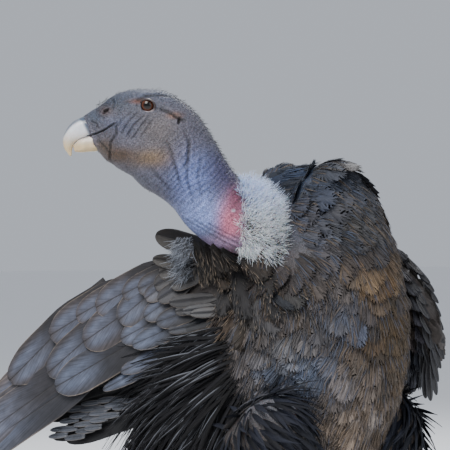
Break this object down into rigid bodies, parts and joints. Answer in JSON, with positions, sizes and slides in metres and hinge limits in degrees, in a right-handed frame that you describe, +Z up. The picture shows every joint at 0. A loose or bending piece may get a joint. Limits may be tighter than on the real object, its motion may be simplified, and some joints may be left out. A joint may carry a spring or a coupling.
{
  "type": "andean condor",
  "caption": "Life-size still model of a large soaring vulture at rest on its folded legs, wings drooped, looking back over its right wing.",
  "frame": {"origin": "on the floor, under the middle of the bird's box", "axes": "+Z up, the breast faces -Y, and the bird's left side is +X"},
  "size_m": [0.615, 0.885, 0.5462],
  "materials": {
    "plumage": "soft brown-black body feathers, mottled with brown and ochre on the breast",
    "quill": "smooth grey-brown vanes with pale brown edges and a dark shaft",
    "down": "white woolly down",
    "bare_skin": "wrinkled grey-mauve skin with sparse black bristles, violet and red low on the neck",
    "horn": "ivory horn, satin",
    "eye": "wet, red-brown iris with a black pupil",
    "leg": "grey scaly skin, matt",
    "claw": "dark horn, satin"
  },
  "bodies": {
    "root": {"bill_lower": "horn", "bill_upper": "horn", "claw_left_hind": "claw", "claw_left_inner": "claw", "claw_left_middle": "claw", "claw_left_outer": "claw", "claw_right_hind": "claw", "claw_right_inner": "claw", "claw_right_middle": "claw", "claw_right_outer": "claw", "eye_left": "eye", "eye_right": "eye", "foot_left": "leg", "foot_right": "leg", "head": "bare_skin", "neck": "bare_skin", "ruff": "down", "tail": "quill", "tarsus_left": "leg", "tarsus_right": "leg", "thigh_left": "plumage", "thigh_right": "plumage", "torso": "plumage", "wing_left": "quill", "wing_right": "quill"}
  },
  "joints": []
}
